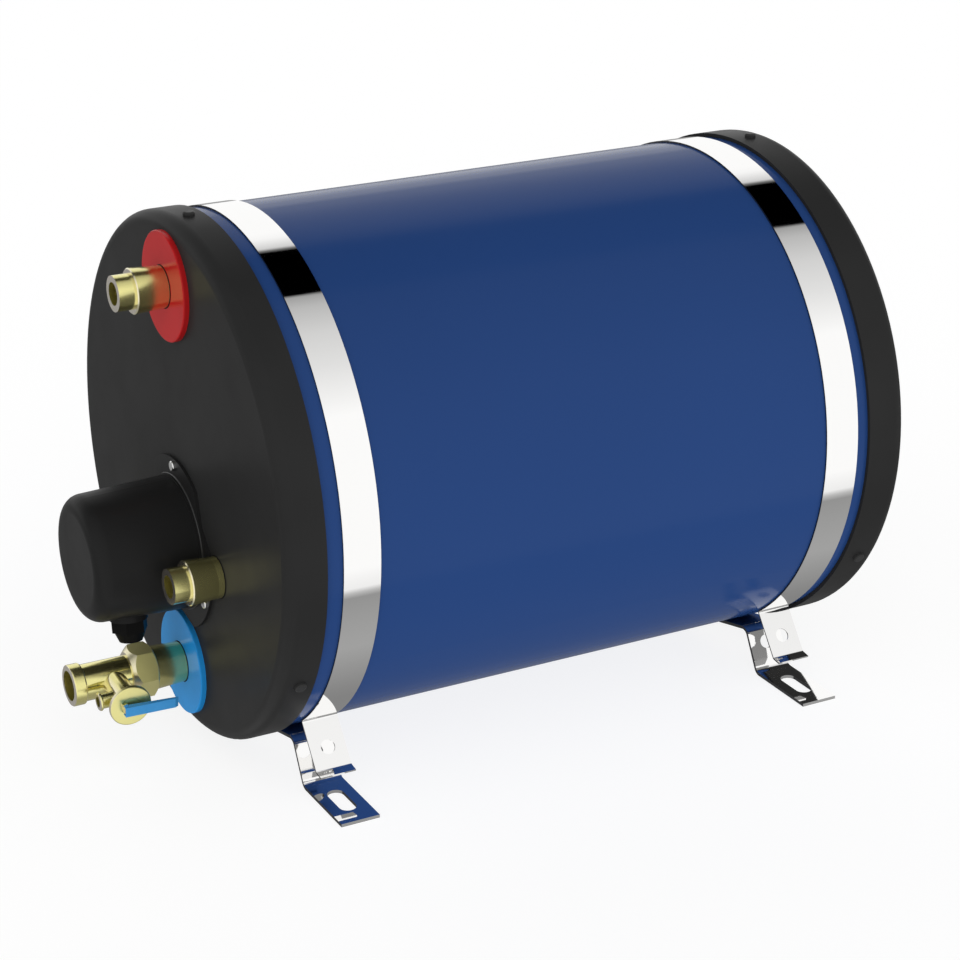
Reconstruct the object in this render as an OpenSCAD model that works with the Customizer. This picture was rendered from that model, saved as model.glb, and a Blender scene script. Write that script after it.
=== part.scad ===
// Horizontal marine water heater: an insulated barrel in two strap cradles,
// with its water fittings, heating element housing and safety valve on one end.
// Millimetres. X runs along the barrel (fittings at -X), Z is up, and the origin
// is midway between the two front foot slots, on the plane the feet stand on.

/* [Barrel] */
// Outer diameter of the jacket
shell_d = 390; // [340:2:440]
// Sheet thickness of the jacket
shell_t = 1.2; // [0.8:0.1:2]
// Overall length over both end caps
body_len = 515; // [480:5:700]
// Clearance between the barrel and the plane the feet stand on
floor_gap = 16.5; // [14:0.5:30]

/* [End caps] */
// Wall of the moulded end caps
cap_wall = 3; // [2:0.5:4]
// Depth of the front cap along the barrel
front_cap_depth = 30; // [27:1:36]
// Depth of the rear cap along the barrel
rear_cap_depth = 34; // [27:1:40]
// Rounding of the cap edge
cap_edge_r = 10; // [8:0.5:11]
// Distance of the cap screws from the end face
cap_screw_inset = 18.5; // [16:0.5:21]
// Head diameter of the cap screws
cap_screw_d = 8.6; // [7:0.2:10]
// Head height of the cap screws
cap_screw_h = 2.8; // [2:0.2:4]

/* [Cradle straps] */
// Gap between the front cap and the front cradle
front_strap_gap = 11.75; // [2:0.25:20]
// Gap between the rear cap and the rear cradle
rear_strap_gap = 8.75; // [2:0.25:20]
// Width of the upper strap
band_w = 28.2; // [24:0.2:34]
// Thickness of the upper strap
band_t = 1.2; // [0.8:0.1:2]
// Angle from straight down at which the upper strap turns outwards
band_end_angle = 37.1; // [35.1:0.5:41.1]
// Length of the clamping tab
tab_len = 37; // [33:1:41]
// Length of the stiffening lip on the tab
lip_len = 7; // [4:0.5:9]
// Width of the lower strap and its feet
saddle_w = 30.5; // [26:0.5:38]
// Thickness of the lower strap and its feet
saddle_t = 2.5; // [2:0.1:3.5]
// Angle from straight down at which the lower strap leaves the barrel
saddle_rest_angle = 13; // [10:0.5:20]
// Angle from straight down at which the lower strap turns down into a leg
saddle_end_angle = 28.4; // [26.4:0.5:30]
// Inside radius of the bend between the upper strap and its tab
band_bend_r = 1.2; // [1:0.1:3]
// Inside radius of the bend between the lower strap and its leg
leg_bend_r = 6; // [4:0.5:8]
// Inside radius of the bend between leg and foot
foot_bend_r = 5; // [3:0.5:8]
// Length of the flat foot beyond its bend
foot_len = 61.6; // [52:0.2:80]
// Width of the foot slot
slot_w = 13; // [9:0.5:16]
// Length of the foot slot
slot_len = 33; // [24:1:38]
// Distance from the foot tip to the middle of the slot
slot_inset = 32; // [28:0.5:34]
// Diameter of the clamp bolt holes
clamp_hole_d = 11; // [8:0.5:13]
// Distance of the clamp bolt holes from the barrel
clamp_hole_reach = 24; // [22:0.5:26]

/* [Water fittings] */
// Distance of the hot and cold fittings from the side of the barrel
port_inset = 46.6; // [44:0.1:56]
// Diameter of the coloured discs
disc_d = 81.2; // [60:0.2:84]
// Thickness of the coloured discs
disc_t = 4.2; // [3:0.2:6]
// Outer diameter of the brass sleeves at their shoulder
sleeve_d = 33.6; // [32:0.2:36]
// Outer diameter of the brass sleeves where they leave the cap
sleeve_root_d = 31; // [30:0.2:32]
// Length of the hot sleeve in front of the cap
hot_sleeve_len = 28.8; // [20:0.1:40]
// Length of the cold sleeve in front of the cap
cold_sleeve_len = 28.5; // [20:0.5:40]
// Length of the coolant sleeves in front of the cap
coolant_sleeve_len = 25; // [14:0.5:30]
// Diameter of the pipe nipples
nipple_d = 26.4; // [24:0.1:28]
// Length of the pipe nipples
nipple_len = 12.6; // [10:0.2:13]
// Diameter of the waterways
water_d = 17; // [10:0.5:17.5]
// Gap between the coolant sleeves and the housing
coolant_gap = 4.4; // [2.5:0.1:12]
// Distance of the coolant ports below the middle of the housing
coolant_below = 1.6; // [0:0.1:12]
// Thickness of the retaining flange behind the cap
retainer_t = 4; // [3:0.5:8]

/* [Heating element housing] */
// Gap between the housing and the cold disc below it
housing_gap = 7.8; // [5:0.05:16]
// How far the screw lobes of the mounting flange stand out from the housing
flange_rim = 15; // [13:0.5:18]
// Thickness of the mounting flange
flange_t = 2.3; // [1.6:0.1:3.6]
// Distance of the flange screws from the ends of the lobes
flange_screw_in = 5.6; // [5.1:0.1:7]
// Diameter of the housing at its base
housing_d = 101; // [92:0.5:103]
// Length of the housing in front of its flange
housing_len = 79; // [68:0.5:110]
// Draft angle of the housing wall
housing_draft = 2.2; // [0.5:0.1:4]
// Rounding of the housing front edge
housing_edge_r = 12; // [5:0.5:18]
// Wall of the housing
housing_wall = 3; // [2:0.1:4]

/* [Cable gland] */
// Distance from the cap face to the gland
gland_setback = 46; // [36:0.5:50]
// Lean of the gland from straight down
gland_lean = 8; // [0:1:20]
// Width of the gland nut across its flats
gland_af = 24; // [20:0.5:26]
// Length of the gland nut
gland_nut_len = 11; // [9:0.5:22]
// Diameter of the cable that the gland seals
gland_cable_d = 9; // [6:0.5:11]

/* [Safety valve] */
// Width of the union nut across its flats
nut_af = 36.4; // [33:0.2:38]
// Length of the union nut
nut_len = 19; // [17:0.5:22]
// Diameter of the front face of the union nut
nut_nose_d = 32; // [31:0.2:34]
// Angle of the nut about its axis
nut_turn = 1; // [0:1:59]
// Diameter of the valve tube
valve_tube_d = 28; // [26:0.2:30]
// Length of the valve from its nut to its open end
valve_len = 45.5; // [44:0.5:64]
// Diameter of the end collar
collar_d = 31.6; // [30.4:0.2:36]
// Length of the end collar
collar_len = 9.5; // [6:0.5:12]
// Bore of the valve inlet
inlet_d = 23; // [20:0.5:24]
// Gap between the nut and the branch
branch_gap = 3.7; // [0.6:0.1:6]
// Diameter of the branch
branch_d = 20; // [19:0.5:25]
// Distance from the valve axis to the end of the branch
branch_len = 41.5; // [34:0.5:48]
// Lean of the branch below horizontal
branch_lean = 6; // [0:1:25]
// Diameter of the branch cap
bonnet_d = 32; // [26:0.2:34]
// Height of the branch cap
bonnet_h = 3; // [2.5:0.5:12]
// Distance from the end of the branch to the axis of the drain nipple
drain_inset = 12; // [7.5:0.1:13]
// Length of the drain nipple from the branch axis
drain_len = 20; // [18:0.5:28]
// Diameter of the bead on the drain nipple
drain_bead_d = 14; // [12.4:0.2:16]
// Outer diameter of the drain nipple
drain_d = 11.4; // [9:0.2:12]
// Length of the lever
lever_len = 43; // [30:0.5:60]
// Height of the lever
lever_h = 8; // [7:0.2:10]

/* [Hidden] */
$fn = 96;

fit_gap = 0.2;          // clearance of seated pieces
cut = 1;                // how far a cutter runs past what it cuts
shell_r = shell_d / 2;
axis_h = shell_r + floor_gap;
cap_r = shell_r + fit_gap + cap_wall;
front_setback = front_cap_depth + front_strap_gap + saddle_w / 2;
rear_setback = rear_cap_depth + rear_strap_gap + saddle_w / 2;
foot_spacing = body_len - front_setback - rear_setback;
front_x = -front_setback;
rear_x = front_x + body_len;
screw_shank_d = 3.6;
screw_hole_d = screw_shank_d + 2 * fit_gap;
screw_reach = 3;        // how far the screws run past what they hold
cap_screw_angles = [0, 120, 240];
pan_rim = 0.45;         // rim rounding of a screw head, as a share of its height

// Places children on the front face: local Z points out of the face, local X up.
module on_front(side = 0, up = 0) {
    translate([front_x, side, axis_h + up]) rotate([0, -90, 0]) children();
}

// ---------------------------------------------------------------- barrel
module outer_shell() {
    end_gap = cap_edge_r + fit_gap;     // the sheet ends clear of the caps' rounded corners
    len = body_len - 2 * end_gap;
    inset = cap_screw_inset - end_gap;
    color("#2d487a") translate([front_x + end_gap, 0, axis_h]) rotate([0, 90, 0])
        difference() {
            cylinder(r = shell_r, h = len, $fn = 180);
            translate([0, 0, -cut]) cylinder(r = shell_r - shell_t, h = len + 2 * cut, $fn = 180);
            for (height = [inset, len - inset]) rotate([0, 0, 180]) screw_holes(height);
        }
}

// Radial holes for the three cap screws at one height of a barrel along local Z
module screw_holes(height) {
    inner_r = shell_r - shell_t - cut;
    for (a = cap_screw_angles) rotate([0, 0, a]) translate([inner_r, 0, height])
        rotate([0, 90, 0]) cylinder(d = screw_hole_d, h = cap_r + cut - inner_r, $fn = 24);
}

// Half section of a cap: a disc with a skirt and a rounded edge
module cap_profile(depth, grow) {
    r = cap_r - grow;
    e = cap_edge_r - grow;
    translate([0, grow]) square([r - e, depth - grow]);
    translate([0, grow + e]) square([r, depth - grow - e]);
    translate([r - e, grow + e]) circle(r = e);
}

// Cap with its closed face on local Z = 0 and its skirt towards +Z
module end_cap(depth) {
    difference() {
        rotate_extrude($fn = 180) difference() {
            intersection() {
                cap_profile(depth, 0);
                square([cap_r + cut, depth]);
            }
            intersection() {
                union() {
                    translate([0, cap_wall]) square([cap_r - cap_edge_r, depth]);
                    translate([0, cap_edge_r]) square([cap_r - cap_wall, depth]);
                    translate([cap_r - cap_edge_r, cap_edge_r]) circle(r = cap_edge_r - cap_wall);
                }
                square([cap_r + cut, depth + cut]);
            }
        }
        rotate([0, 0, 180]) screw_holes(cap_screw_inset);
    }
}

module front_end_cap() {
    color("#333333") difference() {
        translate([front_x, 0, axis_h]) rotate([0, 90, 0]) end_cap(front_cap_depth);
        for (up = [port_offset, -port_offset]) on_front(0, up) port_hole();
        for (s = [-1, 1]) on_front(s * coolant_spread, -coolant_drop) port_hole();
        on_front(0, -housing_drop) flange_screw_holes();
    }
}

module port_hole() {
    translate([0, 0, -cap_wall - cut])
        cylinder(d = sleeve_root_d + 2 * fit_gap, h = cap_wall + 2 * cut);
}

module rear_end_cap() {
    color("#333333") translate([rear_x, 0, axis_h]) rotate([0, -90, 0])
        rotate([0, 0, 180]) end_cap(rear_cap_depth);
}

// Three pan head screws round a cap
module cap_screws(x) {
    color("#161616") for (a = cap_screw_angles) translate([x, 0, axis_h]) rotate([a, 0, 0]) {
        translate([0, 0, cap_r]) pan_head(cap_screw_d, cap_screw_h);
        translate([0, 0, shell_r - shell_t - screw_reach])
            cylinder(d = screw_shank_d, h = cap_r + cut - shell_r + shell_t + screw_reach, $fn = 24);
    }
}

// Pan head on local Z = 0 with a rounded rim
module pan_head(d, h) {
    rim = h * pan_rim;
    rotate_extrude($fn = 48) intersection() {
        union() {
            square([d / 2 - rim, h]);
            square([d / 2, h - rim]);
            translate([d / 2 - rim, h - rim]) circle(r = rim);
        }
        square([d, h]);
    }
}

module front_cap_screws() { cap_screws(front_x + cap_screw_inset); }
module rear_cap_screws() { cap_screws(rear_x - cap_screw_inset); }

// ---------------------------------------------------------------- cradles
strap_r = shell_r + fit_gap;
lip_angle = 45;
lip_bend_r = 1.5;
bend_thinning = 0.03;   // how far each face of a strip draws in at a bend
bend_lap = 4;           // how far a bend runs into the straight stretches, in degrees

// Ring of a strap, cut to the part inside or outside a wedge about straight down
module strap_arc(thick, end_angle, inside) {
    big = 2 * shell_d;
    wedge = [[0, 0], [-big * sin(end_angle), -big * cos(end_angle)],
        [big * sin(end_angle), -big * cos(end_angle)]];
    module ring() {
        difference() {
            circle(r = strap_r + thick, $fn = 180);
            circle(r = strap_r, $fn = 180);
        }
    }
    if (inside) intersection() { ring(); polygon(wedge); }
    else difference() { ring(); polygon(wedge); }
}

// Part ring of a bend between two angles at most 90 degrees apart. A strip is a
// little thinner in its bends, as bent sheet is.
module bend(r_in, thick, from, to, thinning = bend_thinning) {
    big = 3 * (r_in + thick);
    intersection() {
        difference() {
            circle(r = r_in + thick - thinning, $fn = 48);
            circle(r = r_in + thinning, $fn = 48);
        }
        polygon([[0, 0], for (a = [from - bend_lap, (from + to) / 2, to + bend_lap])
            [big * cos(a), big * sin(a)]]);
    }
}

// Section of the upper strap, seen along the barrel, about the barrel axis
module band_section() {
    bend_y = -(strap_r + band_t + band_bend_r);
    strap_arc(band_t, band_end_angle, false);
    for (m = [0, 1]) mirror([m, 0]) rotate(band_end_angle) translate([0, bend_y]) {
        bend(band_bend_r, band_t, 90, 180);
        translate([-band_bend_r - band_t, -tab_len]) square([band_t, tab_len]);
        translate([lip_bend_r - band_bend_r, -tab_len]) {
            bend(lip_bend_r, band_t, 180, 180 + lip_angle);
            rotate(lip_angle) translate([-lip_bend_r - band_t, -lip_len]) square([band_t, lip_len]);
        }
    }
}

module band(x) {
    hole_y = -(shell_r + clamp_hole_reach);
    color("#d9dcde") translate([x, 0, axis_h]) difference() {
        rotate([90, 0, 90]) translate([0, 0, -band_w / 2]) linear_extrude(band_w) band_section();
        for (s = [-1, 1]) rotate([s * band_end_angle, 0, 0])
            translate([0, -s * band_bend_r, hole_y])
                rotate([s * 90, 0, 0]) translate([0, 0, -cut])
                    cylinder(d = clamp_hole_d, h = band_t + 2 * cut, $fn = 48);
    }
}

module front_band() { band(0); }
module rear_band() { band(foot_spacing); }

leg_off = 4;            // distance of the leg from the radius it runs along
tangent_thinning = 0.05;    // how far each face draws in where the strap runs straight
tangent_lap = 2;        // how far that stretch runs back into the ring
ring_lap = 2;           // how far the ring runs on past it, in degrees
turn = saddle_end_angle - saddle_rest_angle;
leg_bend_x = leg_off - leg_bend_r;
leg_bend = [leg_bend_x,
    -(strap_r + saddle_t + leg_bend_r + leg_bend_x * sin(turn)) / cos(turn)];
tangent_len = leg_bend[0] * cos(turn) - leg_bend[1] * sin(turn);
foot_bend_off = leg_off + saddle_t + foot_bend_r;
foot_bend_y = -axis_h + saddle_t + foot_bend_r;
// length of the flat leg, so that the foot lands on the plane below
leg_len = (leg_bend[1] * cos(saddle_end_angle) + foot_bend_off * sin(saddle_end_angle) - foot_bend_y)
    / cos(saddle_end_angle);
foot_bend_x = -leg_bend[1] * sin(saddle_end_angle) + foot_bend_off * cos(saddle_end_angle)
    + leg_len * sin(saddle_end_angle);
slot_y = foot_bend_x + foot_len - slot_inset;

// Section of the lower strap, which leaves the barrel in a straight line on each
// side before it turns down into a leg and a foot
module saddle_section() {
    strap_arc(saddle_t, saddle_rest_angle + ring_lap, true);
    for (m = [0, 1]) mirror([m, 0]) {
        rotate(saddle_rest_angle)
            translate([-tangent_lap, tangent_thinning - strap_r - saddle_t])
                square([tangent_lap + tangent_len, saddle_t - 2 * tangent_thinning]);
        rotate(saddle_end_angle) {
            translate(leg_bend)
                bend(leg_bend_r, saddle_t, 0, 90 - turn, tangent_thinning + bend_thinning);
            translate([leg_off, leg_bend[1] - leg_len]) square([saddle_t, leg_len]);
        }
        translate([foot_bend_x, foot_bend_y])
            bend(foot_bend_r, saddle_t, 180 + saddle_end_angle, 270);
        translate([foot_bend_x, -axis_h]) square([foot_len, saddle_t]);
    }
}

module saddle(x) {
    color("#d9dcde") translate([x, 0, axis_h]) difference() {
        rotate([90, 0, 90]) translate([0, 0, -saddle_w / 2]) linear_extrude(saddle_w) saddle_section();
        for (s = [-1, 1]) {
            rotate([s * saddle_end_angle, 0, 0])
                translate([0, s * leg_off, -(shell_r + clamp_hole_reach)])
                    rotate([-s * 90, 0, 0]) translate([0, 0, -cut])
                        cylinder(d = clamp_hole_d, h = saddle_t + 2 * cut, $fn = 48);
            translate([0, s * slot_y, -axis_h - cut])
                linear_extrude(saddle_t + 2 * cut) slot();
        }
    }
}

module slot() {
    half = (slot_len - slot_w) / 2;
    square([slot_w, 2 * half], center = true);
    for (s = [-1, 1]) translate([0, s * half]) circle(d = slot_w, $fn = 48);
}

module front_saddle() { saddle(0); }
module rear_saddle() { saddle(foot_spacing); }

// ---------------------------------------------------------------- fittings
port_offset = shell_r - port_inset;
housing_drop = port_offset - disc_d / 2 - housing_gap - housing_d / 2;
coolant_spread = housing_d / 2 + coolant_gap + sleeve_d / 2;
coolant_drop = housing_drop + coolant_below;
shoulder = 0.8;         // chamfer of the sleeve shoulder
taper_z = disc_t + cut; // where the sleeve starts to widen
disc_edge_r = 1;        // rounding of the disc rim
retainer_rim = 4.5;     // how far the retaining flange stands out round the sleeve
retainer_d = sleeve_d + 2 * retainer_rim;

// Brass fitting: retaining flange behind the cap, widening sleeve and pipe nipple
module fitting(sleeve_len) {
    color("#b59a4a") difference() {
        rotate_extrude() {
            translate([0, -cap_wall - retainer_t]) square([retainer_d / 2, retainer_t]);
            polygon([[0, -cap_wall - cut], [sleeve_root_d / 2, -cap_wall - cut],
                [sleeve_root_d / 2, taper_z], [sleeve_d / 2, sleeve_len - shoulder],
                [sleeve_d / 2 - shoulder, sleeve_len], [0, sleeve_len]]);
            square([nipple_d / 2, sleeve_len + nipple_len]);
        }
        translate([0, 0, -cap_wall - retainer_t - cut])
            cylinder(d = water_d, h = cap_wall + retainer_t + sleeve_len + nipple_len + 2 * cut);
    }
}

// Coloured disc round a fitting
module port_disc() {
    rotate_extrude($fn = 120) difference() {
        union() {
            square([disc_d / 2, disc_t - disc_edge_r]);
            square([disc_d / 2 - disc_edge_r, disc_t]);
            translate([disc_d / 2 - disc_edge_r, disc_t - disc_edge_r]) circle(r = disc_edge_r, $fn = 24);
        }
        translate([-cut, -cut]) square([sleeve_root_d / 2 + fit_gap + cut, disc_t + 2 * cut]);
    }
}

module hot_outlet_disc() { color("#b03836") on_front(0, port_offset) port_disc(); }
module hot_outlet_fitting() { on_front(0, port_offset) fitting(hot_sleeve_len); }
module cold_inlet_disc() { color("#4085c4") on_front(0, -port_offset) port_disc(); }
module cold_inlet_fitting() { on_front(0, -port_offset) fitting(cold_sleeve_len); }
module near_coolant_port() { on_front(-coolant_spread, -coolant_drop) fitting(coolant_sleeve_len); }
module far_coolant_port() { on_front(coolant_spread, -coolant_drop) fitting(coolant_sleeve_len); }

// ---------------------------------------------------------------- housing
flange_end_r = housing_d / 2 + flange_rim;
flange_ring_r = housing_d / 2 + 1.5;    // radius of the flange between its lobes
lobe_half_angle = 34;   // from the middle of a lobe to the middle of its corner rounding
lobe_corner_r = 8;
lobe_inset = 0.05;      // how far the sides of a lobe lie inside its corner roundings
flange_screw_r = flange_end_r - flange_screw_in;
flange_screw_d = 8;
flange_screw_h = 2.4;
base_lip = 1;           // bead round the foot of the housing
base_lip_h = 2.2;
gland_flat = 2.5;       // how far the gland boss stands off the housing wall
gland_boss_rim = 0.5;   // how far the boss stands out round the gland
gland_boss_d = gland_af / cos(30) + 2 * gland_boss_rim;
draft_tan = tan(housing_draft);
// radius of the housing wall level with the gland
gland_wall_r = housing_d / 2 - (gland_setback - flange_t) * draft_tan;
gland_face = gland_wall_r + gland_flat;

module flange_screw_holes() {
    for (a = cap_screw_angles) rotate([0, 0, a]) translate([flange_screw_r, 0, -cap_wall - cut])
        cylinder(d = screw_hole_d, h = cap_wall + flange_t + 2 * cut, $fn = 24);
}

// Broad lobe along local X: an arc with rounded corners and straight sides from the ring
module flange_lobe() {
    corner_off = flange_end_r - lobe_corner_r;
    side = acos((flange_ring_r - lobe_corner_r) / corner_off);
    along_side = [cos(side), sin(side)];
    intersection() {
        circle(r = flange_end_r - lobe_inset, $fn = 120);
        polygon([[0, 0], [flange_end_r, -flange_end_r * tan(lobe_half_angle)],
            [flange_end_r, flange_end_r * tan(lobe_half_angle)]]);
    }
    for (m = [0, 1]) mirror([0, m]) rotate(lobe_half_angle) {
        translate([corner_off, 0]) circle(r = lobe_corner_r, $fn = 48);
        polygon([[0, 0], [corner_off, -lobe_corner_r / 2],
            [corner_off, 0] + (lobe_corner_r - lobe_inset) * along_side,
            (flange_ring_r - lobe_inset) * along_side]);
    }
}

// Mounting flange: a narrow ring with a broad lobe under each screw, notched round the
// fittings beside it
module housing_flange() {
    color("#2b2b2b") difference() {
        on_front(0, -housing_drop) difference() {
            linear_extrude(flange_t) {
                circle(r = flange_ring_r, $fn = 120);
                for (a = cap_screw_angles) rotate(a) flange_lobe();
            }
            translate([0, 0, -cut]) cylinder(r = housing_d / 2 - 2 * housing_wall, h = flange_t + 2 * cut);
            flange_screw_holes();
        }
        for (s = [-1, 1]) on_front(s * coolant_spread, -coolant_drop) translate([0, 0, -cut])
            cylinder(d = sleeve_root_d + 4 * fit_gap, h = flange_t + 2 * cut);
        on_front(0, -port_offset) translate([0, 0, -cut])
            cylinder(d = disc_d + 2 * fit_gap, h = flange_t + 2 * cut, $fn = 120);
    }
}

// Drafted cup with a rounded front edge, its foot on local Z = 0
module cup(r, len, e) {
    arc_r = r - (len - e) * draft_tan - e / cos(housing_draft);
    rotate_extrude($fn = 120) {
        polygon([[0, 0], [r, 0],
            [arc_r + e * cos(housing_draft), len - e + e * sin(housing_draft)], [arc_r, len], [0, len]]);
        intersection() {
            translate([arc_r, len - e]) circle(r = e, $fn = 64);
            square([r, len]);
        }
    }
}

module housing_cover() {
    color("#262626") on_front(0, -housing_drop) difference() {
        union() {
            translate([0, 0, flange_t]) cup(housing_d / 2, housing_len, housing_edge_r);
            translate([0, 0, flange_t]) cylinder(r = housing_d / 2 + base_lip, h = base_lip_h, $fn = 120);
            at_gland() cylinder(d = gland_boss_d, h = gland_face);
        }
        translate([0, 0, flange_t - cut]) cup(housing_d / 2 - housing_wall,
            housing_len - housing_wall + cut, housing_edge_r - housing_wall);
        at_gland() translate([0, 0, gland_wall_r / 2])
            cylinder(d = gland_thread_d + 2 * fit_gap, h = gland_wall_r);
    }
}

// Local Z runs down through the gland from the housing axis
module at_gland() {
    translate([0, 0, gland_setback]) rotate([0, 0, gland_lean]) rotate([0, -90, 0]) children();
}

module housing_screws() {
    color("#c8cacc") on_front(0, -housing_drop) for (a = cap_screw_angles) rotate([0, 0, a])
        translate([flange_screw_r, 0, flange_t]) {
            pan_head(flange_screw_d, flange_screw_h);
            translate([0, 0, -flange_t - cap_wall - screw_reach])
                cylinder(d = screw_shank_d, h = flange_t + cap_wall + screw_reach + cut, $fn = 24);
        }
}

// ---------------------------------------------------------------- cable gland
gland_thread_in = 3;    // how far the gland thread lies inside the flats
gland_thread_d = gland_af - 2 * gland_thread_in;
gland_seal_in = 4;      // how far the seal lies inside the flats
gland_seal_d = gland_af - 2 * gland_seal_in;
gland_collar_h = 6;
gland_dome_h = gland_nut_len * 0.72;
gland_dome_in = 3.2;    // how far the nut tapers in towards its end
gland_inside = 4;       // how far the thread reaches into the housing

module cable_gland_body() {
    thread_z = gland_face - gland_flat - housing_wall - gland_inside;
    color("#1c1c1c") on_front(0, -housing_drop) at_gland() difference() {
        union() {
            translate([0, 0, gland_face]) cylinder(d = gland_af / cos(30), h = gland_collar_h, $fn = 6);
            translate([0, 0, thread_z]) cylinder(d = gland_thread_d, h = gland_face + cut - thread_z);
        }
        translate([0, 0, thread_z - cut])
            cylinder(d = gland_cable_d + 2 * cut, h = gland_face + gland_collar_h - thread_z + 2 * cut);
    }
}

module cable_gland_nut() {
    color("#1c1c1c") on_front(0, -housing_drop) at_gland() translate([0, 0, gland_face + gland_collar_h])
        difference() {
            union() {
                cylinder(d = gland_af / cos(30), h = gland_nut_len - gland_dome_h, $fn = 6);
                translate([0, 0, gland_nut_len - gland_dome_h])
                    cylinder(d1 = gland_af, d2 = gland_af - 2 * gland_dome_in, h = gland_dome_h);
            }
            translate([0, 0, -cut]) cylinder(d = gland_seal_d + 2 * fit_gap, h = gland_nut_len + 2 * cut);
        }
}

module cable_gland_seal() {
    color("#0f0f0f") on_front(0, -housing_drop) at_gland() translate([0, 0, gland_face + gland_collar_h])
        difference() {
            cylinder(d = gland_seal_d, h = gland_nut_len - cut);
            translate([0, 0, -cut]) cylinder(d = gland_cable_d, h = gland_nut_len + cut);
        }
}

// ---------------------------------------------------------------- safety valve
nut_z = cold_sleeve_len;
tube_z = nut_z + nut_len;
end_z = tube_z + valve_len;
branch_z = tube_z + branch_d / 2 + branch_gap;
drain_setback = branch_len - drain_inset;
socket_depth = 20;
drain_wall = 1.7;
valve_edge_r = 1.2;
bonnet_dome = 0.3;      // rim rounding of the branch cap, as a share of its height

// Hexagon with a flat across local X, lightly chamfered on local Z = 0 and cut at 45
// degrees down to its nose at the far end
module chamfered_hex(af, len, nose_r) {
    face_r = af / 2;
    corner_r = face_r / cos(30) + cut;
    chamfer = (corner_r - face_r) * tan(30);
    intersection() {
        rotate([0, 0, 30]) cylinder(r = face_r / cos(30), h = len, $fn = 6);
        rotate_extrude() polygon([[0, 0], [face_r, 0], [corner_r, chamfer],
            [corner_r, len - corner_r + nose_r], [nose_r, len], [0, len]]);
    }
}

module valve_union_nut() {
    color("#b59a4a") on_front(0, -port_offset) translate([0, 0, nut_z]) difference() {
        rotate([0, 0, -nut_turn]) chamfered_hex(nut_af, nut_len, nut_nose_d / 2);
        translate([0, 0, -cut]) cylinder(d = nipple_d + 2 * fit_gap, h = nut_len + 2 * cut);
    }
}

// Local Z runs out along the branch, local Y up beside it, local X along the lever
module at_branch() {
    translate([front_x - branch_z, 0, axis_h - port_offset]) rotate([90 + branch_lean, 0, 0]) children();
}

module valve_body() {
    color("#b59a4a") difference() {
        union() {
            on_front(0, -port_offset) translate([0, 0, tube_z])
                cylinder(d = valve_tube_d, h = valve_len - collar_len);
            at_branch() cylinder(d = branch_d, h = branch_len);
        }
        on_front(0, -port_offset) translate([0, 0, tube_z - cut])
            cylinder(d = water_d, h = valve_len - collar_len + 2 * cut);
        on_front(0, -port_offset) translate([0, 0, end_z - socket_depth])
            cylinder(d = inlet_d, h = socket_depth + cut);
        at_branch() cylinder(d = water_d, h = branch_len + cut);
        at_drain() translate([0, 0, branch_d / 4]) cylinder(d = drain_d + 2 * fit_gap, h = branch_d / 2);
    }
}

module valve_end_collar() {
    mid_r = collar_d / 2 - valve_edge_r;
    color("#b59a4a") on_front(0, -port_offset) translate([0, 0, end_z - collar_len])
        rotate_extrude() difference() {
            union() {
                square([mid_r, collar_len]);
                translate([0, valve_edge_r]) square([collar_d / 2, collar_len - 2 * valve_edge_r]);
                for (z = [valve_edge_r, collar_len - valve_edge_r])
                    translate([mid_r, z]) circle(r = valve_edge_r, $fn = 24);
            }
            translate([-cut, -cut]) square([inlet_d / 2 + cut, collar_len + 2 * cut]);
        }
}

// Local Z runs from the branch axis out along the drain nipple
module at_drain() {
    at_branch() translate([0, 0, drain_setback]) rotate([0, -90, 0]) children();
}

module drain_nipple() {
    bead = (drain_bead_d - drain_d) / 2;
    color("#b59a4a") at_drain() difference() {
        union() {
            translate([0, 0, branch_d / 4 + cut]) cylinder(d = drain_d, h = drain_len - branch_d / 4 - cut);
            translate([0, 0, drain_len - 2 * bead]) rotate_extrude() {
                square([drain_d / 2, 2 * bead]);
                translate([drain_d / 2, bead]) circle(r = bead, $fn = 32);
            }
        }
        cylinder(d = drain_d - 2 * drain_wall, h = drain_len + cut);
    }
}

// Flat cap on the branch
module valve_bonnet() {
    dome = bonnet_h * bonnet_dome;
    color("#c4a955") at_branch() translate([0, 0, branch_len]) difference() {
        rotate_extrude() intersection() {
            union() {
                square([bonnet_d / 2 - dome, bonnet_h]);
                square([bonnet_d / 2, bonnet_h - dome]);
                translate([bonnet_d / 2 - dome, bonnet_h - dome]) circle(r = dome, $fn = 48);
            }
            square([bonnet_d, bonnet_h]);
        }
        translate([0, 0, -cut]) cylinder(d = spindle_d + 2 * fit_gap, h = bonnet_h + 2 * cut);
    }
}

lever_t = 1.1;          // sheet of the lever channel
lever_lift = 0.5;       // gap between the resting lever and the cap
lever_gap = 0.3;        // clearance of the lever on its pin and its lug
pin_d = 2;
pin_off = -4.6;           // pin position along the lever from the branch axis
pin_rise = 3.4;         // pin height above the cap
pin_end = 0.3;          // how far the pin stands out beside the lever
heel = 3.1;             // length of lever behind the pin
lug_r = 1.7;            // half width of the spindle lug
lug_root = 2;           // how deep the lug starts in the spindle
web_rise = 2.1;         // height of the lever web above the pin
spindle_d = 14;
lug_w = lever_h - 2 * (lever_t + lever_gap);
face_z = branch_len + bonnet_h;

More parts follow.
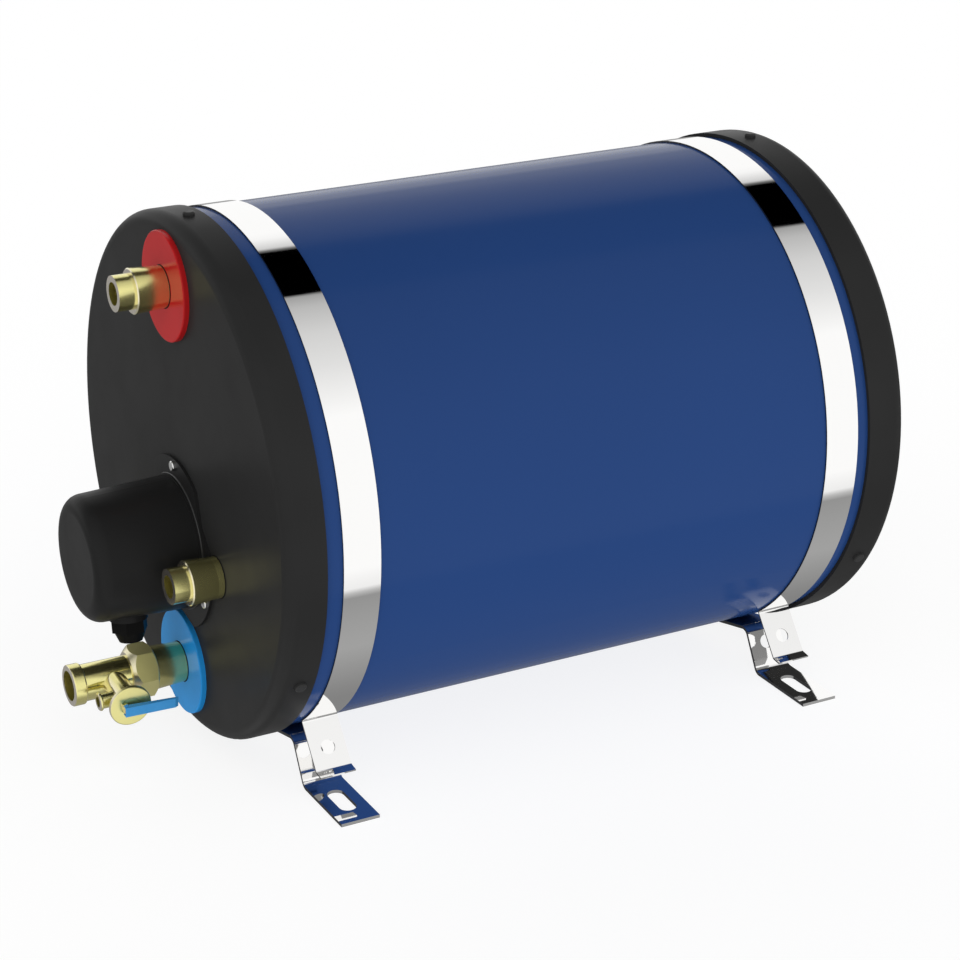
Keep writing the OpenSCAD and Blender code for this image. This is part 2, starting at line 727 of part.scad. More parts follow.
// Spindle through the bonnet with an offset lug for the lever pin
module valve_spindle() {
    color("#b59a4a") at_branch() difference() {
        union() {
            translate([0, 0, branch_len]) cylinder(d = spindle_d, h = bonnet_h);
            translate([pin_off, 0, face_z + pin_rise]) rotate([90, 0, 0])
                cylinder(r = lug_r, h = lug_w, center = true, $fn = 32);
            translate([pin_off - lug_r, -lug_w / 2, face_z - lug_root])
                cube([2 * lug_r, lug_w, pin_rise + lug_root]);
        }
        translate([pin_off, 0, face_z + pin_rise]) rotate([90, 0, 0])
            cylinder(d = pin_d + fit_gap / 2, h = lever_h, center = true, $fn = 32);
    }
}

module lever_pin() {
    color("#4085c4") at_branch() translate([pin_off, 0, face_z + pin_rise]) rotate([90, 0, 0])
        cylinder(d = pin_d, h = lever_h + 2 * pin_end, center = true, $fn = 32);
}

// Channel-section lever lying across the bonnet, its heel rounded about the pin
module valve_lever() {
    drop = pin_rise - lever_lift;
    reach = lever_len - heel;
    color("#4085c4") at_branch() translate([pin_off, 0, face_z + pin_rise]) difference() {
        rotate([90, 0, 0]) linear_extrude(lever_h, center = true) {
            translate([-heel, 0]) square([heel, web_rise + lever_t]);
            circle(r = heel, $fn = 48);
            translate([0, -drop]) square([reach, drop + web_rise + lever_t]);
        }
        translate([-heel - cut, lever_t - lever_h / 2, -drop - cut])
            cube([heel + reach - lever_t + cut, lever_h - 2 * lever_t, drop + web_rise + cut]);
        rotate([90, 0, 0])
            cylinder(d = pin_d + 2 * lever_gap, h = 2 * lever_h, center = true, $fn = 32);
    }
}

outer_shell();
front_end_cap();
rear_end_cap();
front_cap_screws();
rear_cap_screws();
front_band();
rear_band();
front_saddle();
rear_saddle();
hot_outlet_disc();
hot_outlet_fitting();
cold_inlet_disc();
cold_inlet_fitting();
near_coolant_port();
far_coolant_port();
housing_flange();
housing_cover();
housing_screws();
cable_gland_body();
cable_gland_nut();
cable_gland_seal();
valve_union_nut();
valve_body();
valve_end_collar();
drain_nipple();
valve_bonnet();
valve_spindle();
lever_pin();
valve_lever();
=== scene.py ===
# %% [markdown]
# # A marine water heater
# The heater is a painted steel jacket with a moulded black cap at each end. It lies in two
# strap cradles of polished stainless steel. The front cap carries the hot outlet (red
# disc), the cold inlet (blue disc) with its safety valve, two coolant ports and the
# housing of the electric heating element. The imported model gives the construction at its
# real size, and this lesson gives it its finishes, its fine pieces and its light.

# %% Load the frame
from math import cos, pi, radians, sin

import bmesh
import bpy
from mathutils import Matrix, Vector


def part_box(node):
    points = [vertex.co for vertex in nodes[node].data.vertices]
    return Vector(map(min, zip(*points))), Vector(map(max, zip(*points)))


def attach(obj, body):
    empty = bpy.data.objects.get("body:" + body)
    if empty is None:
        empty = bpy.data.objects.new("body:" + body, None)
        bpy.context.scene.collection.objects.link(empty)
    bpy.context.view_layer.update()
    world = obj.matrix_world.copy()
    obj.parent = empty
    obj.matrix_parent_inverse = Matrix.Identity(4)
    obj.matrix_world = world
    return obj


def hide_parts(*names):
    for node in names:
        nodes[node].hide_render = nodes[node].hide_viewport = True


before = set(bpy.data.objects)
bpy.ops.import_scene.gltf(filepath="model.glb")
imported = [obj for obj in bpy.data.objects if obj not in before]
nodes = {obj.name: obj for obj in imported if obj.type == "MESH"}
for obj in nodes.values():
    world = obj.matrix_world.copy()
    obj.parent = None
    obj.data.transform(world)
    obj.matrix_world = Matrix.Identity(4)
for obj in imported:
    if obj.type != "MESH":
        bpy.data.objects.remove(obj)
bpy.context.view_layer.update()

scene = bpy.context.scene

# %% [markdown]
# ## The measures that everything hangs on
# Nothing is placed by eye. The jacket gives the barrel's axis and radius, and the caps give
# the faces it ends in. Further on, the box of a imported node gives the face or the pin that
# a piece made here belongs to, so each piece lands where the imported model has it.

# %% Read the driving measures
MM = 0.001
shell_low, shell_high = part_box("outer_shell")
barrel_r = (shell_high.y - shell_low.y) / 2
axis_z = (shell_high.z + shell_low.z) / 2
face_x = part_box("front_end_cap")[0].x
back_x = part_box("rear_end_cap")[1].x
print(f"barrel radius {barrel_r:.4f}, axis height {axis_z:.4f}")
print(f"faces at x {face_x:.4f} and {back_x:.4f}")

# %% [markdown]
# ## Looking at it
# The camera stands above and to the left of the fittings end, fairly far away with a long
# lens, so that the barrel's sides stay nearly parallel. Its place, aim and lens are plain
# values. The view transform is Standard, so a colour comes out about as it is written.

# %% Place the camera
VIEW_AZIMUTH = radians(-28.2)
VIEW_ELEVATION = radians(21.9)
CAMERA_AT = Vector((-0.672, -1.6192, 0.9007))
ANGLE_OF_VIEW = radians(21.63)


def look_back(azimuth, elevation):
    """Direction from the aim back to the camera."""
    level = cos(elevation)
    return Vector((sin(azimuth) * level, -cos(azimuth) * level, sin(elevation)))


camera = bpy.data.objects.new("camera", bpy.data.cameras.new("camera"))
scene.collection.objects.link(camera)
camera.data.lens_unit = "FOV"
camera.data.angle = ANGLE_OF_VIEW
camera.rotation_mode = "QUATERNION"
camera.rotation_quaternion = look_back(VIEW_AZIMUTH, VIEW_ELEVATION).to_track_quat("Z", "Y")
camera.location = CAMERA_AT
scene.camera = camera
scene.view_settings.view_transform = "Standard"
print(f"lens {camera.data.lens:.1f} mm")

# %% [markdown]
# ## A helper for node trees
# Finishes, floor and sky are all small node trees. Adding nodes and joining them by hand
# takes a line for each socket, so four calls do it: one adds a node with its settings, one
# joins two sockets, one makes a grey ramp from a short table, and one picks a shader by
# the kind of ray that looks.

# %% Add and join nodes


class Shading:
    """The node tree of a material or a world."""

    def __init__(self, owner, cleared=True):
        owner.use_nodes = True
        self.tree = owner.node_tree
        if cleared:
            self.tree.nodes.clear()

    def node(self, kind, inputs=None, **settings):
        """Adds a node, with its settings and the values of its input sockets."""
        made = self.tree.nodes.new(kind)
        for name, value in settings.items():
            setattr(made, name, value)
        for socket, value in (inputs or {}).items():
            made.inputs[socket].default_value = value
        return made

    def link(self, source, target):
        self.tree.links.new(source, target)

    def ramp(self, stops):
        """A colour ramp through grey stops, each given as (place, level)."""
        made = self.node("ShaderNodeValToRGB")
        elements = made.color_ramp.elements
        while len(elements) > 1:
            elements.remove(elements[-1])
        for index, (place, level) in enumerate(stops):
            stop = elements[0] if index == 0 else elements.new(place)
            stop.position = place
            stop.color = (level, level, level, 1)
        return made

    def for_rays(self, ray, theirs, others):
        """Shows one shader to rays of a kind and another to all other rays."""
        mix = self.node("ShaderNodeMixShader")
        self.link(self.node("ShaderNodeLightPath").outputs[ray], mix.inputs["Fac"])
        self.link(others, mix.inputs[1])
        self.link(theirs, mix.inputs[2])
        return mix.outputs[0]


# %% [markdown]
# ## A helper for finishes
# Every finish is a small tree round one Principled shader. Numbers that are the same all
# over the surface are set on the shader's own sockets. What varies, such as a grain or a
# haze of handling marks, is wired in from noise on Object coordinates.

# %% Make a finish
# a Mix node's sockets: first value, second value, result
MIX_COLOURS = (6, 7, 2)
MIX_NUMBERS = (2, 3, 0)
SQUARE = 0.97            # how far along the axis a face looks to count as square to it


def shade(colour, by):
    """A colour made lighter or darker."""
    return [channel * by for channel in colour]


class Finish(Shading):
    """A material with one Principled shader and short calls to add texture."""

    def __init__(self, name, colour, roughness, **sockets):
        self.material = bpy.data.materials.new(name)
        super().__init__(self.material, cleared=False)
        self.shader = self.tree.nodes["Principled BSDF"]
        self.shader.inputs["Base Color"].default_value = (*colour, 1)
        self.shader.inputs["Roughness"].default_value = roughness
        for socket, value in sockets.items():
            self.shader.inputs[socket.replace("_", " ")].default_value = value
        coordinates = self.node("ShaderNodeTexCoord")
        self.place = coordinates.outputs["Object"]
        self.facing = coordinates.outputs["Normal"]

    def noise(self, size, detail=2.0, stretch=(1, 1, 1)):
        """Noise whose lumps are about size metres across."""
        mapping = self.node("ShaderNodeMapping", {"Scale": stretch})
        texture = self.node("ShaderNodeTexNoise", {"Scale": 1 / size, "Detail": detail})
        self.link(self.place, mapping.inputs["Vector"])
        self.link(mapping.outputs["Vector"], texture.inputs["Vector"])
        return texture.outputs["Fac"]

    def spread(self, source, low, high, source_low=0.3, source_high=0.7):
        """Stretches a texture's middle range to run from low to high."""
        ranged = self.node("ShaderNodeMapRange", {"From Min": source_low, "From Max": source_high,
                                                  "To Min": low, "To Max": high})
        self.link(source, ranged.inputs["Value"])
        return ranged.outputs["Result"]

    def tint(self, source, dark, light):
        """Base colour that drifts between two tones."""
        first, second, result = MIX_COLOURS
        mix = self.node("ShaderNodeMix", {first: (*dark, 1), second: (*light, 1)}, data_type="RGBA")
        self.link(source, mix.inputs[0])
        self.link(mix.outputs[result], self.shader.inputs["Base Color"])

    def rough(self, source, low, high):
        """Roughness that wanders from low to high."""
        self.link(self.spread(source, low, high), self.shader.inputs["Roughness"])

    def square_faces(self, nearly):
        """1 on faces square to the barrel's axis, 0 on those that look less than nearly so."""
        split = self.node("ShaderNodeSeparateXYZ")
        size = self.node("ShaderNodeMath", operation="ABSOLUTE")
        self.link(self.facing, split.inputs[0])
        self.link(split.outputs["X"], size.inputs[0])
        return self.spread(size.outputs[0], 0, 1, nearly, SQUARE)

    def instead(self, socket, mask, value):
        """Gives a socket another colour or number where the mask is 1."""
        colour = isinstance(value, tuple)
        first, second, result = MIX_COLOURS if colour else MIX_NUMBERS
        mix = self.node("ShaderNodeMix", data_type="RGBA" if colour else "FLOAT")
        mix.inputs[second].default_value = (*value, 1) if colour else value
        target = self.shader.inputs[socket]
        self.link(target.links[0].from_socket, mix.inputs[first])
        self.link(mask, mix.inputs[0])
        self.link(mix.outputs[result], target)

    def bump(self, source, height, strength=1.0):
        """Relief of the given height in metres."""
        bump = self.node("ShaderNodeBump", {"Distance": height, "Strength": strength})
        self.link(source, bump.inputs["Height"])
        self.link(bump.outputs["Normal"], self.shader.inputs["Normal"])


# %% [markdown]
# ## Jacket paint
# The jacket is sheet steel with a baked navy coat. It is satin: broad soft reflections,
# with the very slight waviness that sprayed paint keeps. Two noises do it, a broad one
# for the tone and a fine one, a few hundredths of a millimetre high, for the waviness.

# %% Navy paint
navy = Finish("navy_paint", (0.0220, 0.0650, 0.2235), 0.14, Specular_IOR_Level=0.06)
drift = navy.spread(navy.noise(0.35, detail=1), 0, 1)
navy.tint(drift, (0.0212, 0.0628, 0.216), (0.0228, 0.0672, 0.231))
navy.rough(navy.noise(0.05), 0.14, 0.17)
navy.bump(navy.noise(0.0035), 0.00002)

# %% [markdown]
# ## Moulded black plastic
# The caps, the housing and the cable gland are moulded in black with a fine spark-eroded
# grain. The grain is a noise less than half a millimetre across, and the surface is
# rough enough that reflections blur into a grey sheen. The bead round the housing has a
# smoother skin, so it catches more light, and a lighter tone than the housing, which is a
# painted highlight along it. Rubber is the same recipe, darker and duller. It also colours
# the black rings at the fittings' roots, which are painted shade.

# %% Black plastics


def black_plastic(name, tone, low, high, grain=0.00045, shine=0.03):
    """Black moulding with a grain that many metres across, and a roughness from low to high."""
    black = (tone, tone, tone)
    finish = Finish(name, black, low, Specular_IOR_Level=shine)
    finish.tint(finish.spread(finish.noise(0.08), 0, 1), shade(black, 0.92), shade(black, 1.08))
    finish.rough(finish.noise(0.03), low, high)
    finish.bump(finish.noise(grain, detail=3), 0.00004, 0.6)
    return finish


cap_black = black_plastic("cap_plastic", 0.0285, 0.30, 0.36)
housing_black = black_plastic("housing_plastic", 0.0175, 0.30, 0.36, shine=0.06)
gland_black = black_plastic("gland_plastic", 0.0080, 0.34, 0.42, grain=0.0006)
# the bead's tone is lighter than the housing's: a painted highlight along it
bead_black = black_plastic("bead_plastic", 0.0400, 0.26, 0.32, shine=0.3)
# rubber for the gland's seal, and also for the black rings at the fittings' roots, which are
# painted shade
rubber_and_ring_shade = black_plastic("rubber_and_painted_shade", 0.010, 0.62, 0.74, grain=0.0008)

# %% [markdown]
# ## Polished stainless
# The straps are bright stainless strip, polished to a mirror. Nearly all of their look
# is what they reflect. Faint wiping haze varies the roughness by a few hundredths. The
# strip is sheared to width, and its cut edges are left dull. They are also given a
# near-black colour, a painted shade that draws a thin dark line along each strap. The cut
# edges are the faces that look along the barrel, so the mask is read from the surface's own
# direction and the imported straps need no second mesh.

# %% Polished steel
STEEL = (0.97, 0.965, 0.955)
# the cut edges' near-black colour is painted shade; their roughness is their real dull finish
SHEARED_EDGE_SHADE, SHEARED_ROUGHNESS = (0.10, 0.10, 0.105), 0.4
polished = Finish("polished_stainless", STEEL, 0.03, Metallic=1.0)
polished.tint(polished.noise(0.05), shade(STEEL, 0.99), STEEL)
polished.rough(polished.noise(0.02, stretch=(1, 4, 4)), 0.02, 0.05)
sheared_and_shaded = polished.square_faces(nearly=0.90)
# painted shade on the cut edges
polished.instead("Base Color", sheared_and_shaded, SHEARED_EDGE_SHADE)
polished.instead("Roughness", sheared_and_shaded, SHEARED_ROUGHNESS)

# %% [markdown]
# ## Brass
# The fittings are turned from bar and left bare. The cutter leaves rings too fine to
# count. Seen whole they make the shine run along the turning axis, so the rings are a
# noise squeezed hard along X, which is the axis of the ports. The valve's body is cast
# and polished, so it shines evenly and more sharply. Its nut and bonnet are milled flat,
# and their reflections are the softest. Faces that look more than a little along X, end
# faces among them, get a paler, greyer brass: a painted sheen for the pale reflections on them.

# %% Brasses
BRASS = (0.85, 0.79, 0.32)
# paler, greyer brass for faces that look along X: a painted sheen
PALE_SHEEN_BRASS = (0.87, 0.80, 0.69)
TURNED_ALONG_X = (14, 1, 1)
EVEN = (1, 1, 1)


def brass_finish(name, stretch, low, high):
    """Bare brass with tool marks stretched one way, and a roughness from low to high."""
    finish = Finish(name, BRASS, low, Metallic=0.96, Coat_Weight=0.5, Coat_Roughness=0.10)
    finish.tint(finish.spread(finish.noise(0.02), 0, 1), shade(BRASS, 0.97), shade(BRASS, 1.03))
    finish.rough(finish.noise(0.004, stretch=stretch), low, high)
    finish.bump(finish.noise(0.004, detail=1, stretch=stretch), 0.000001)
    # painted sheen on faces that look along X
    finish.instead("Base Color", finish.square_faces(nearly=0.35), PALE_SHEEN_BRASS)
    return finish


turned_brass = brass_finish("turned_brass", TURNED_ALONG_X, 0.20, 0.24)
cast_brass = brass_finish("cast_brass", EVEN, 0.13, 0.17)
milled_brass = brass_finish("milled_brass", EVEN, 0.29, 0.32)

# %% [markdown]
# ## Coloured plastics and screws
# Red marks hot and blue marks cold. Both discs are glossier than the caps and mirror the
# brass that stands on them. The valve's lever is dipped in the same blue. The blackened
# screws of the caps take the same recipe, and the housing's screws are bright plated.

# %% Discs, lever and screws


def gloss_plastic(name, colour, low, high):
    """Glossy coat with a slight orange peel."""
    finish = Finish(name, colour, low, Specular_IOR_Level=0.1)
    finish.tint(finish.spread(finish.noise(0.03), 0, 1), shade(colour, 0.96), shade(colour, 1.04))
    finish.rough(finish.noise(0.01), low, high)
    finish.bump(finish.noise(0.004), 0.000008)
    return finish


red_plastic = gloss_plastic("red_plastic", (0.500, 0.013, 0.015), 0.16, 0.24)
blue_plastic = gloss_plastic("blue_plastic", (0.021, 0.305, 0.765), 0.16, 0.24)
lever_blue = gloss_plastic("lever_coating", (0.060, 0.340, 0.745), 0.24, 0.32)
dark_steel = gloss_plastic("blackened_steel", (0.036, 0.036, 0.036), 0.30, 0.42)
bright_steel = Finish("plated_steel", (0.80, 0.80, 0.79), 0.14, Metallic=1.0)
bright_steel.rough(bright_steel.noise(0.002), 0.14, 0.26)

# %% [markdown]
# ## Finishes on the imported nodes
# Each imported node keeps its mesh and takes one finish. A table from finish to nodes reads
# like the parts list of a drawing, and the count at the end shows that none was missed.

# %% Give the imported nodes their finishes
FINISHES = {
    navy: ["outer_shell"],
    cap_black: ["front_end_cap", "rear_end_cap"],
    housing_black: ["housing_flange", "housing_cover"],
    gland_black: ["cable_gland_body", "cable_gland_nut"],
    rubber_and_ring_shade: ["cable_gland_seal"],
    polished: ["front_band", "rear_band", "front_saddle", "rear_saddle"],
    turned_brass: ["hot_outlet_fitting", "cold_inlet_fitting", "near_coolant_port",
                   "far_coolant_port", "valve_end_collar", "drain_nipple"],
    cast_brass: ["valve_body"],
    milled_brass: ["valve_union_nut", "valve_bonnet", "valve_spindle"],
    red_plastic: ["hot_outlet_disc"],
    blue_plastic: ["cold_inlet_disc"],
    lever_blue: ["valve_lever", "lever_pin"],
    dark_steel: ["front_cap_screws", "rear_cap_screws"],
    bright_steel: ["housing_screws"],
}
for finish, names in FINISHES.items():
    for name in names:
        slots = nodes[name].data.materials
        slots.clear()
        slots.append(finish.material)
print("finished nodes:", sum(len(names) for names in FINISHES.values()), "of", len(nodes))

# %% [markdown]
# ## A helper for pieces
# A new piece is shaped as a bmesh and then goes through the same last steps: doubles are
# merged, faces are turned outwards, and the object gets its finish and rides on a body,
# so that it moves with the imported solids. One helper keeps those steps the same.

# %% Finish a piece
MERGE_WITHIN = 1e-6


def finished(name, mesh, finish, body="heater", smooth=True):
    """Turns a bmesh into a piece that rides on a body."""
    bmesh.ops.remove_doubles(mesh, verts=mesh.verts, dist=MERGE_WITHIN)
    bmesh.ops.recalc_face_normals(mesh, faces=mesh.faces)
    for face in mesh.faces:
        face.smooth = smooth
    data = bpy.data.meshes.new(name)
    mesh.to_mesh(data)
    mesh.free()
    data.materials.append(finish.material)
    piece = bpy.data.objects.new(name, data)
    scene.collection.objects.link(piece)
    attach(piece, body)
    print(f"{name}: {len(data.polygons)} faces")
    return piece


# %% [markdown]
# ## Dark rings round the fittings
# Each brass sleeve passes through its disc, or straight through the cap, and the gap at its
# root lies in shade. A thin black ring is put in that gap as painted shade, and from outside
# it is a fine black line. A torus primitive would do, but a small circle spun round the
# port's own axis keeps the ring at exactly the place and radius that the imported model gives.

# %% Spin the dark rings
SLEEVE_ROOT_R = 15.5 * MM
SHADE_RING_R = 0.55 * MM
RING_STEPS, RING_SIDES = 96, 10
SLEEVE_SEATS = {"hot_outlet_fitting": "hot_outlet_disc", "cold_inlet_fitting": "cold_inlet_disc",
          "near_coolant_port": "front_end_cap", "far_coolant_port": "front_end_cap"}


def ring(mesh, centre, radius, thickness_r):
    """Adds a round ring about an axis along X to the mesh."""
    start = Matrix.Translation(centre + Vector((0, 0, radius))) @ Matrix.Rotation(pi / 2, 4, "X")
    made = bmesh.ops.create_circle(mesh, segments=RING_SIDES, radius=thickness_r, matrix=start)
    edges = list(dict.fromkeys(edge for vert in made["verts"] for edge in vert.link_edges))
    bmesh.ops.spin(mesh, geom=made["verts"] + edges, cent=centre, axis=(1, 0, 0), angle=2 * pi,
                   steps=RING_STEPS, use_merge=True)


shade_rings = bmesh.new()
for fitting, seat in SLEEVE_SEATS.items():
    low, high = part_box(fitting)
    seat_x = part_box(seat)[0].x
    centre = Vector((seat_x, (low.y + high.y) / 2, (low.z + high.z) / 2))
    # a black ring in the shaded gap at the sleeve's root: painted shade
    ring(shade_rings, centre, SLEEVE_ROOT_R, SHADE_RING_R)
finished("port_shade_rings", shade_rings, rubber_and_ring_shade)

# %% [markdown]
# ## Bead at the foot of the housing
# Where the housing meets its flange the mould leaves a thin rolled bead, and it catches
# the light as one fine line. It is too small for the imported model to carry. It could be
# bevelled out of the flange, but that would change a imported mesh, so it is one more ring.

# %% Spin the bead
HOUSING_R = 50.5 * MM
HOUSING_DROP = 49.5 * MM         # from the barrel's axis down to the housing's
BEAD_R = 0.8 * MM
flange_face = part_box("housing_flange")[0].x
bead = bmesh.new()
ring(bead, Vector((flange_face, 0, axis_z - HOUSING_DROP)), HOUSING_R + BEAD_R, BEAD_R)
finished("housing_bead", bead, bead_black)
cover_low, cover_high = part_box("housing_cover")
print(f"flange face at x {flange_face:.4f}, cover from z {cover_low.z:.4f} to {cover_high.z:.4f}")

# %% [markdown]
# ## Lever of the safety valve
# The lever is a strip folded to a channel, open towards the valve and at its heel, so that
# it can swing up over the lug that carries its pin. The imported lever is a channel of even
# depth, which is right for clearance. On the real one the side flanges get shallower
# towards the tip, the tip is bent back a little, and the channel droops slightly. It
# starts as one side flange of four corners. The two edges along its outer side are
# extruded to make the face, the second flange closes it, and Solidify and Bevel give the
# sheet its thickness and soften its edges.

# %% Fold the lever
LEVER_SHEET, LEVER_EDGE_R = 0.8 * MM, 0.2 * MM
LEVER_LEAN = radians(6)
# along the lever from its pin, and outwards from its pin
HEEL, BEND, TIP = -1.8 * MM, 37.0 * MM, 39.9 * MM
FACE, HEEL_DEPTH, TIP_DEPTH = 3.1 * MM, 4.9 * MM, 1.7 * MM
OUTLINE = [(HEEL, FACE - HEEL_DEPTH), (HEEL, FACE), (BEND, FACE), (TIP, FACE - TIP_DEPTH)]
# height of each flange over the pin, beside the pin and at the tip
UPPER = (3.3 * MM, 2.3 * MM)
LOWER = (-4.5 * MM, -5.6 * MM)


def flange_height(heights, along):
    """Height of a flange at a place along the lever."""
    at_pin, at_tip = heights
    return at_pin + (at_tip - at_pin) * along / TIP


sheet = bmesh.new()
upper = [sheet.verts.new((along, flange_height(UPPER, along), out)) for along, out in OUTLINE]
upper_flange = sheet.faces.new(upper)
face_edges = [edge for edge in upper_flange.edges if upper[0] not in edge.verts]
folded = bmesh.ops.extrude_edge_only(sheet, edges=face_edges)["geom"]
lower = sorted((item for item in folded if isinstance(item, bmesh.types.BMVert)),
               key=lambda vert: vert.co.x)
for vert in lower:
    vert.co.y = flange_height(LOWER, vert.co.x)
lower.insert(0, sheet.verts.new((HEEL, flange_height(LOWER, HEEL), FACE - HEEL_DEPTH)))
sheet.faces.new(lower)

# %% Seat the lever on its pin
pin_low, pin_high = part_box("lever_pin")
seat = Matrix.Translation((pin_low + pin_high) / 2) @ Matrix.Rotation(pi / 2 + LEVER_LEAN, 4, "X")
bmesh.ops.transform(sheet, verts=sheet.verts, matrix=seat)
lever = finished("lever_channel", sheet, lever_blue, body="lever", smooth=False)
thicken = lever.modifiers.new("sheet", "SOLIDIFY")
thicken.thickness = LEVER_SHEET
thicken.offset = -1              # inwards from the outer faces
thicken.use_even_offset = True
soften = lever.modifiers.new("edges", "BEVEL")
soften.width = LEVER_EDGE_R
soften.segments = 2
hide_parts("valve_lever")

# %% [markdown]
# ## Floor
# The floor is a plain white sheet that runs out of sight. The camera sees mostly its own
# flat white, so it meets the background with no edge, and the rest is a lit surface that
# keeps the heater's soft shadow.

# %% Lay the floor
FLOOR_HALF = 12.0
floor_mesh = bmesh.new()
bmesh.ops.create_grid(floor_mesh, x_segments=1, y_segments=1, size=FLOOR_HALF)
floor_data = bpy.data.meshes.new("floor")
floor_mesh.to_mesh(floor_data)
floor_mesh.free()
floor = bpy.data.objects.new("floor", floor_data)
scene.collection.objects.link(floor)
white_floor = bpy.data.materials.new("white_floor")
floor_data.materials.append(white_floor)
floor_look = Shading(white_floor)
print(f"floor {2 * FLOOR_HALF:.0f} m square")

# %% [markdown]
# ## What bright metal sees of the floor
# Bright metal sees the floor grey under the heater, with a clean line on each side and white
# beyond, though the camera sees it white there. The grey is a painted reflection, and it is
# darkest right under the barrel, which is painted shade. The tones are a ramp over the
# distance across the barrel. The grey's near edge runs slightly askew, and the grey ends
# under the front cap, so the floor left of it has a short ramp of its own.

# %% Paint the floor's grey reflection
# the mat named in these comments is no real mat: it is the painted grey reflection
GREY_NEAR, GREY_FAR = -0.411, 4.0
GREY_EDGE = 0.002         # half the width over which the mat's near edge changes tone
GREY_TURN = 0.06          # how far that edge comes closer per metre along the barrel
GREY_LEFT = (-0.068, -0.060)
# distance along Y in metres, and how bright bright metal sees the floor there
# painted reflection: grey under the heater, and darkest under the barrel as painted shade
REFLECTED_TONES = [(-0.7, 1.0), (-0.55, 1.0), (GREY_NEAR - GREY_EDGE, 0.86), (GREY_NEAR + GREY_EDGE, 0.29),
             (-0.235, 0.37), (-0.13, 0.23), (0.0, 0.23), (0.2, 0.34), (GREY_FAR, 0.34), (5.0, 1.0)]
REFLECTED_LEFT_TONES = [(-0.7, 1.0), (-0.09, 1.0), (-0.05, 0.33), (5.0, 0.33)]
FLOOR_START, FLOOR_END = REFLECTED_TONES[0][0], REFLECTED_TONES[-1][0]


def floor_ramp(tones):
    """A ramp over the floor's depth from a table of tones."""
    return floor_look.ramp([((y - FLOOR_START) / (FLOOR_END - FLOOR_START), level)
                            for y, level in tones])


place = floor_look.node("ShaderNodeTexCoord")
split = floor_look.node("ShaderNodeSeparateXYZ")
across = floor_look.node("ShaderNodeMath", {1: -GREY_TURN}, operation="MULTIPLY_ADD")
reach = floor_look.node("ShaderNodeMapRange", {"From Min": FLOOR_START, "From Max": FLOOR_END})
on_grey = floor_look.node("ShaderNodeMapRange", {"From Min": GREY_LEFT[0], "From Max": GREY_LEFT[1]})
either = floor_look.node("ShaderNodeMix", data_type="RGBA")
floor_look.link(place.outputs["Object"], split.inputs[0])
floor_look.link(split.outputs["X"], across.inputs[0])
floor_look.link(split.outputs["Y"], across.inputs[2])
floor_look.link(across.outputs[0], reach.inputs["Value"])
floor_look.link(split.outputs["X"], on_grey.inputs["Value"])
floor_look.link(on_grey.outputs["Result"], either.inputs[0])
for tones, socket in zip((REFLECTED_LEFT_TONES, REFLECTED_TONES), MIX_COLOURS):
    ramp = floor_ramp(tones)
    floor_look.link(reach.outputs["Result"], ramp.inputs["Fac"])
    floor_look.link(ramp.outputs["Color"], either.inputs[socket])
# emission that only glossy rays see: the painted reflection
painted_reflection = floor_look.node("ShaderNodeEmission")
floor_look.link(either.outputs[MIX_COLOURS[2]], painted_reflection.inputs["Color"])
print(f"mat from y {GREY_NEAR} to {GREY_FAR}, right of x {GREY_LEFT[1]}")

# %% [markdown]
# ## What other rays see of the floor
# The camera sees an even glow with a little lit white added, which is what carries the
# shadow. Glossy rays see the painted grey reflection. All other rays are light on its way
# to the heater, and for them the floor is one even, nearly white sheet.

# %% Show each ray its floor
FLOOR_GLOW = 0.84        # the even part of what the camera sees
FLOOR_WHITE = 0.25       # how white the lit part is
FLOOR_LIGHT = 0.84       # what the floor sends up to the heater


def grey(level):
    """A grey as a colour socket takes it."""
    return (level, level, level, 1)


glow = floor_look.node("ShaderNodeEmission", {"Color": grey(FLOOR_GLOW)})
lit = floor_look.node("ShaderNodeBsdfDiffuse", {"Color": grey(FLOOR_WHITE)})
sheet_light = floor_look.node("ShaderNodeEmission", {"Color": grey(FLOOR_LIGHT)})
shown = floor_look.node("ShaderNodeAddShader")
floor_look.link(glow.outputs[0], shown.inputs[0])
floor_look.link(lit.outputs[0], shown.inputs[1])
# glossy rays get the painted grey reflection
unseen = floor_look.for_rays("Is Glossy Ray", painted_reflection.outputs[0], sheet_light.outputs[0])
surface = floor_look.for_rays("Is Camera Ray", shown.outputs[0], unseen)
floor_look.link(surface, floor_look.node("ShaderNodeOutputMaterial").inputs["Surface"])

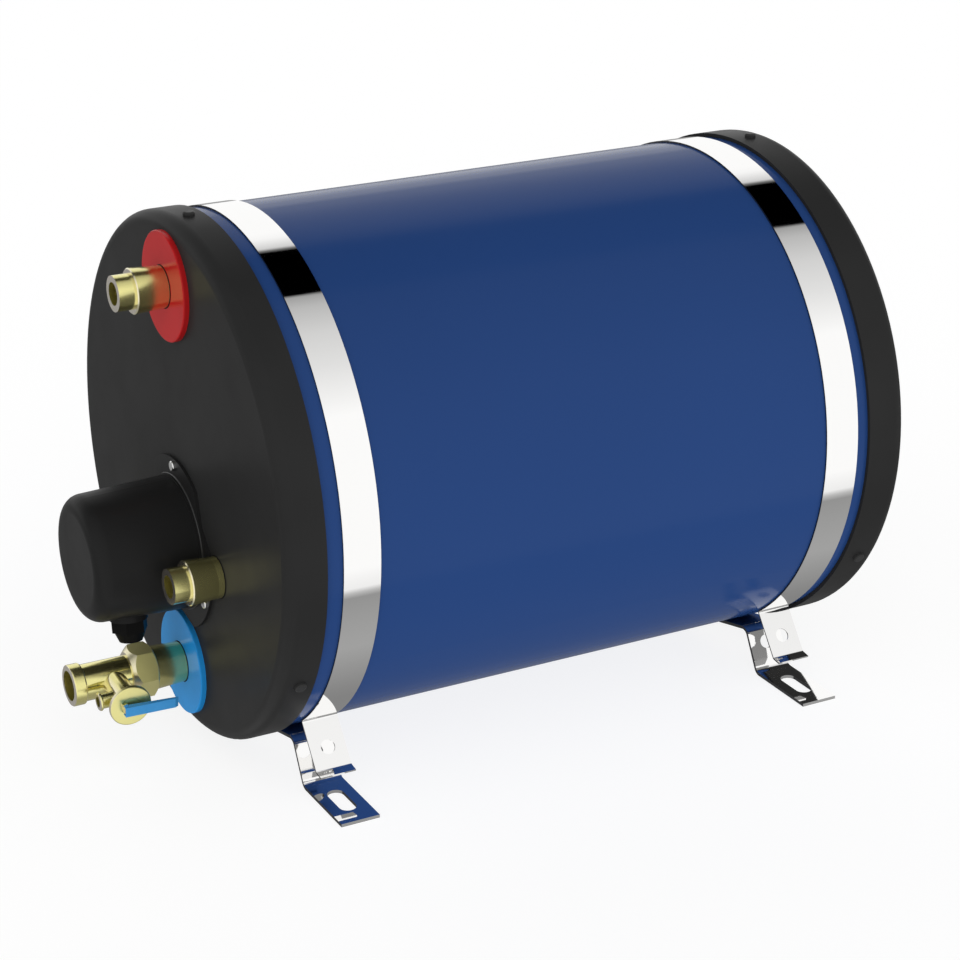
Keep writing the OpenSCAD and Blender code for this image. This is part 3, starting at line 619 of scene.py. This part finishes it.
# %% [markdown]
# ## Light
# The heater stands in a white tent. Overhead the tent has a dark gap that runs roughly
# along the barrel, and its near side fades from grey at the gap to white at eye level.
# Only shiny surfaces tell: the gap is the black patch across each strap. It is written
# as a ramp over the angle round the tent's ridge, from straight down in front, over the
# top, to straight down behind.

# %% Make the light tent
RIDGE_TURN = 0.30        # how far the ridge swings to the side for each step along the barrel
GAP_START, GAP_END = 10.5, 37.8
# degrees from overhead, minus towards the near side, and how bright the tent is there
TENT = [(-180, 1.0), (-49, 1.0), (-42, 0.93), (-25, 0.77), (-9, 0.66), (4.5, 0.50), (9.9, 0.36),
        (GAP_START, 0.0), (GAP_END, 0.0), (38.4, 0.60), (46, 0.95), (50, 1.0), (180, 1.0)]

scene.world = bpy.data.worlds.new("light_tent")
tent = Shading(scene.world)
where = tent.node("ShaderNodeTexCoord")
split = tent.node("ShaderNodeSeparateXYZ")
turned = tent.node("ShaderNodeMath", {1: RIDGE_TURN}, operation="MULTIPLY_ADD")
angle = tent.node("ShaderNodeMath", operation="ARCTAN2")
turn = tent.node("ShaderNodeMapRange", {"From Min": -pi, "From Max": pi})
ramp = tent.ramp([((degrees_over + 180) / 360, level) for degrees_over, level in TENT])
tent.link(where.outputs["Generated"], split.inputs[0])
tent.link(split.outputs["X"], turned.inputs[0])
tent.link(split.outputs["Y"], turned.inputs[2])
tent.link(turned.outputs[0], angle.inputs[0])
tent.link(split.outputs["Z"], angle.inputs[1])
tent.link(angle.outputs[0], turn.inputs["Value"])
tent.link(turn.outputs["Result"], ramp.inputs["Fac"])

# %% [markdown]
# ## Background
# The camera looks past the tent at a flat white sheet. Light Path's Is Camera Ray picks
# that sheet for the camera alone, so the tent can have its gap and the background stays
# white.

# %% Hang the backdrop
tent_light = tent.node("ShaderNodeBackground")
backdrop = tent.node("ShaderNodeBackground", {"Color": grey(1)})
tent.link(ramp.outputs["Color"], tent_light.inputs["Color"])
surface = tent.for_rays("Is Camera Ray", backdrop.outputs[0], tent_light.outputs[0])
tent.link(surface, tent.node("ShaderNodeOutputWorld").inputs["Surface"])
print(f"tent gap from {GAP_START} to {GAP_END} degrees past overhead")
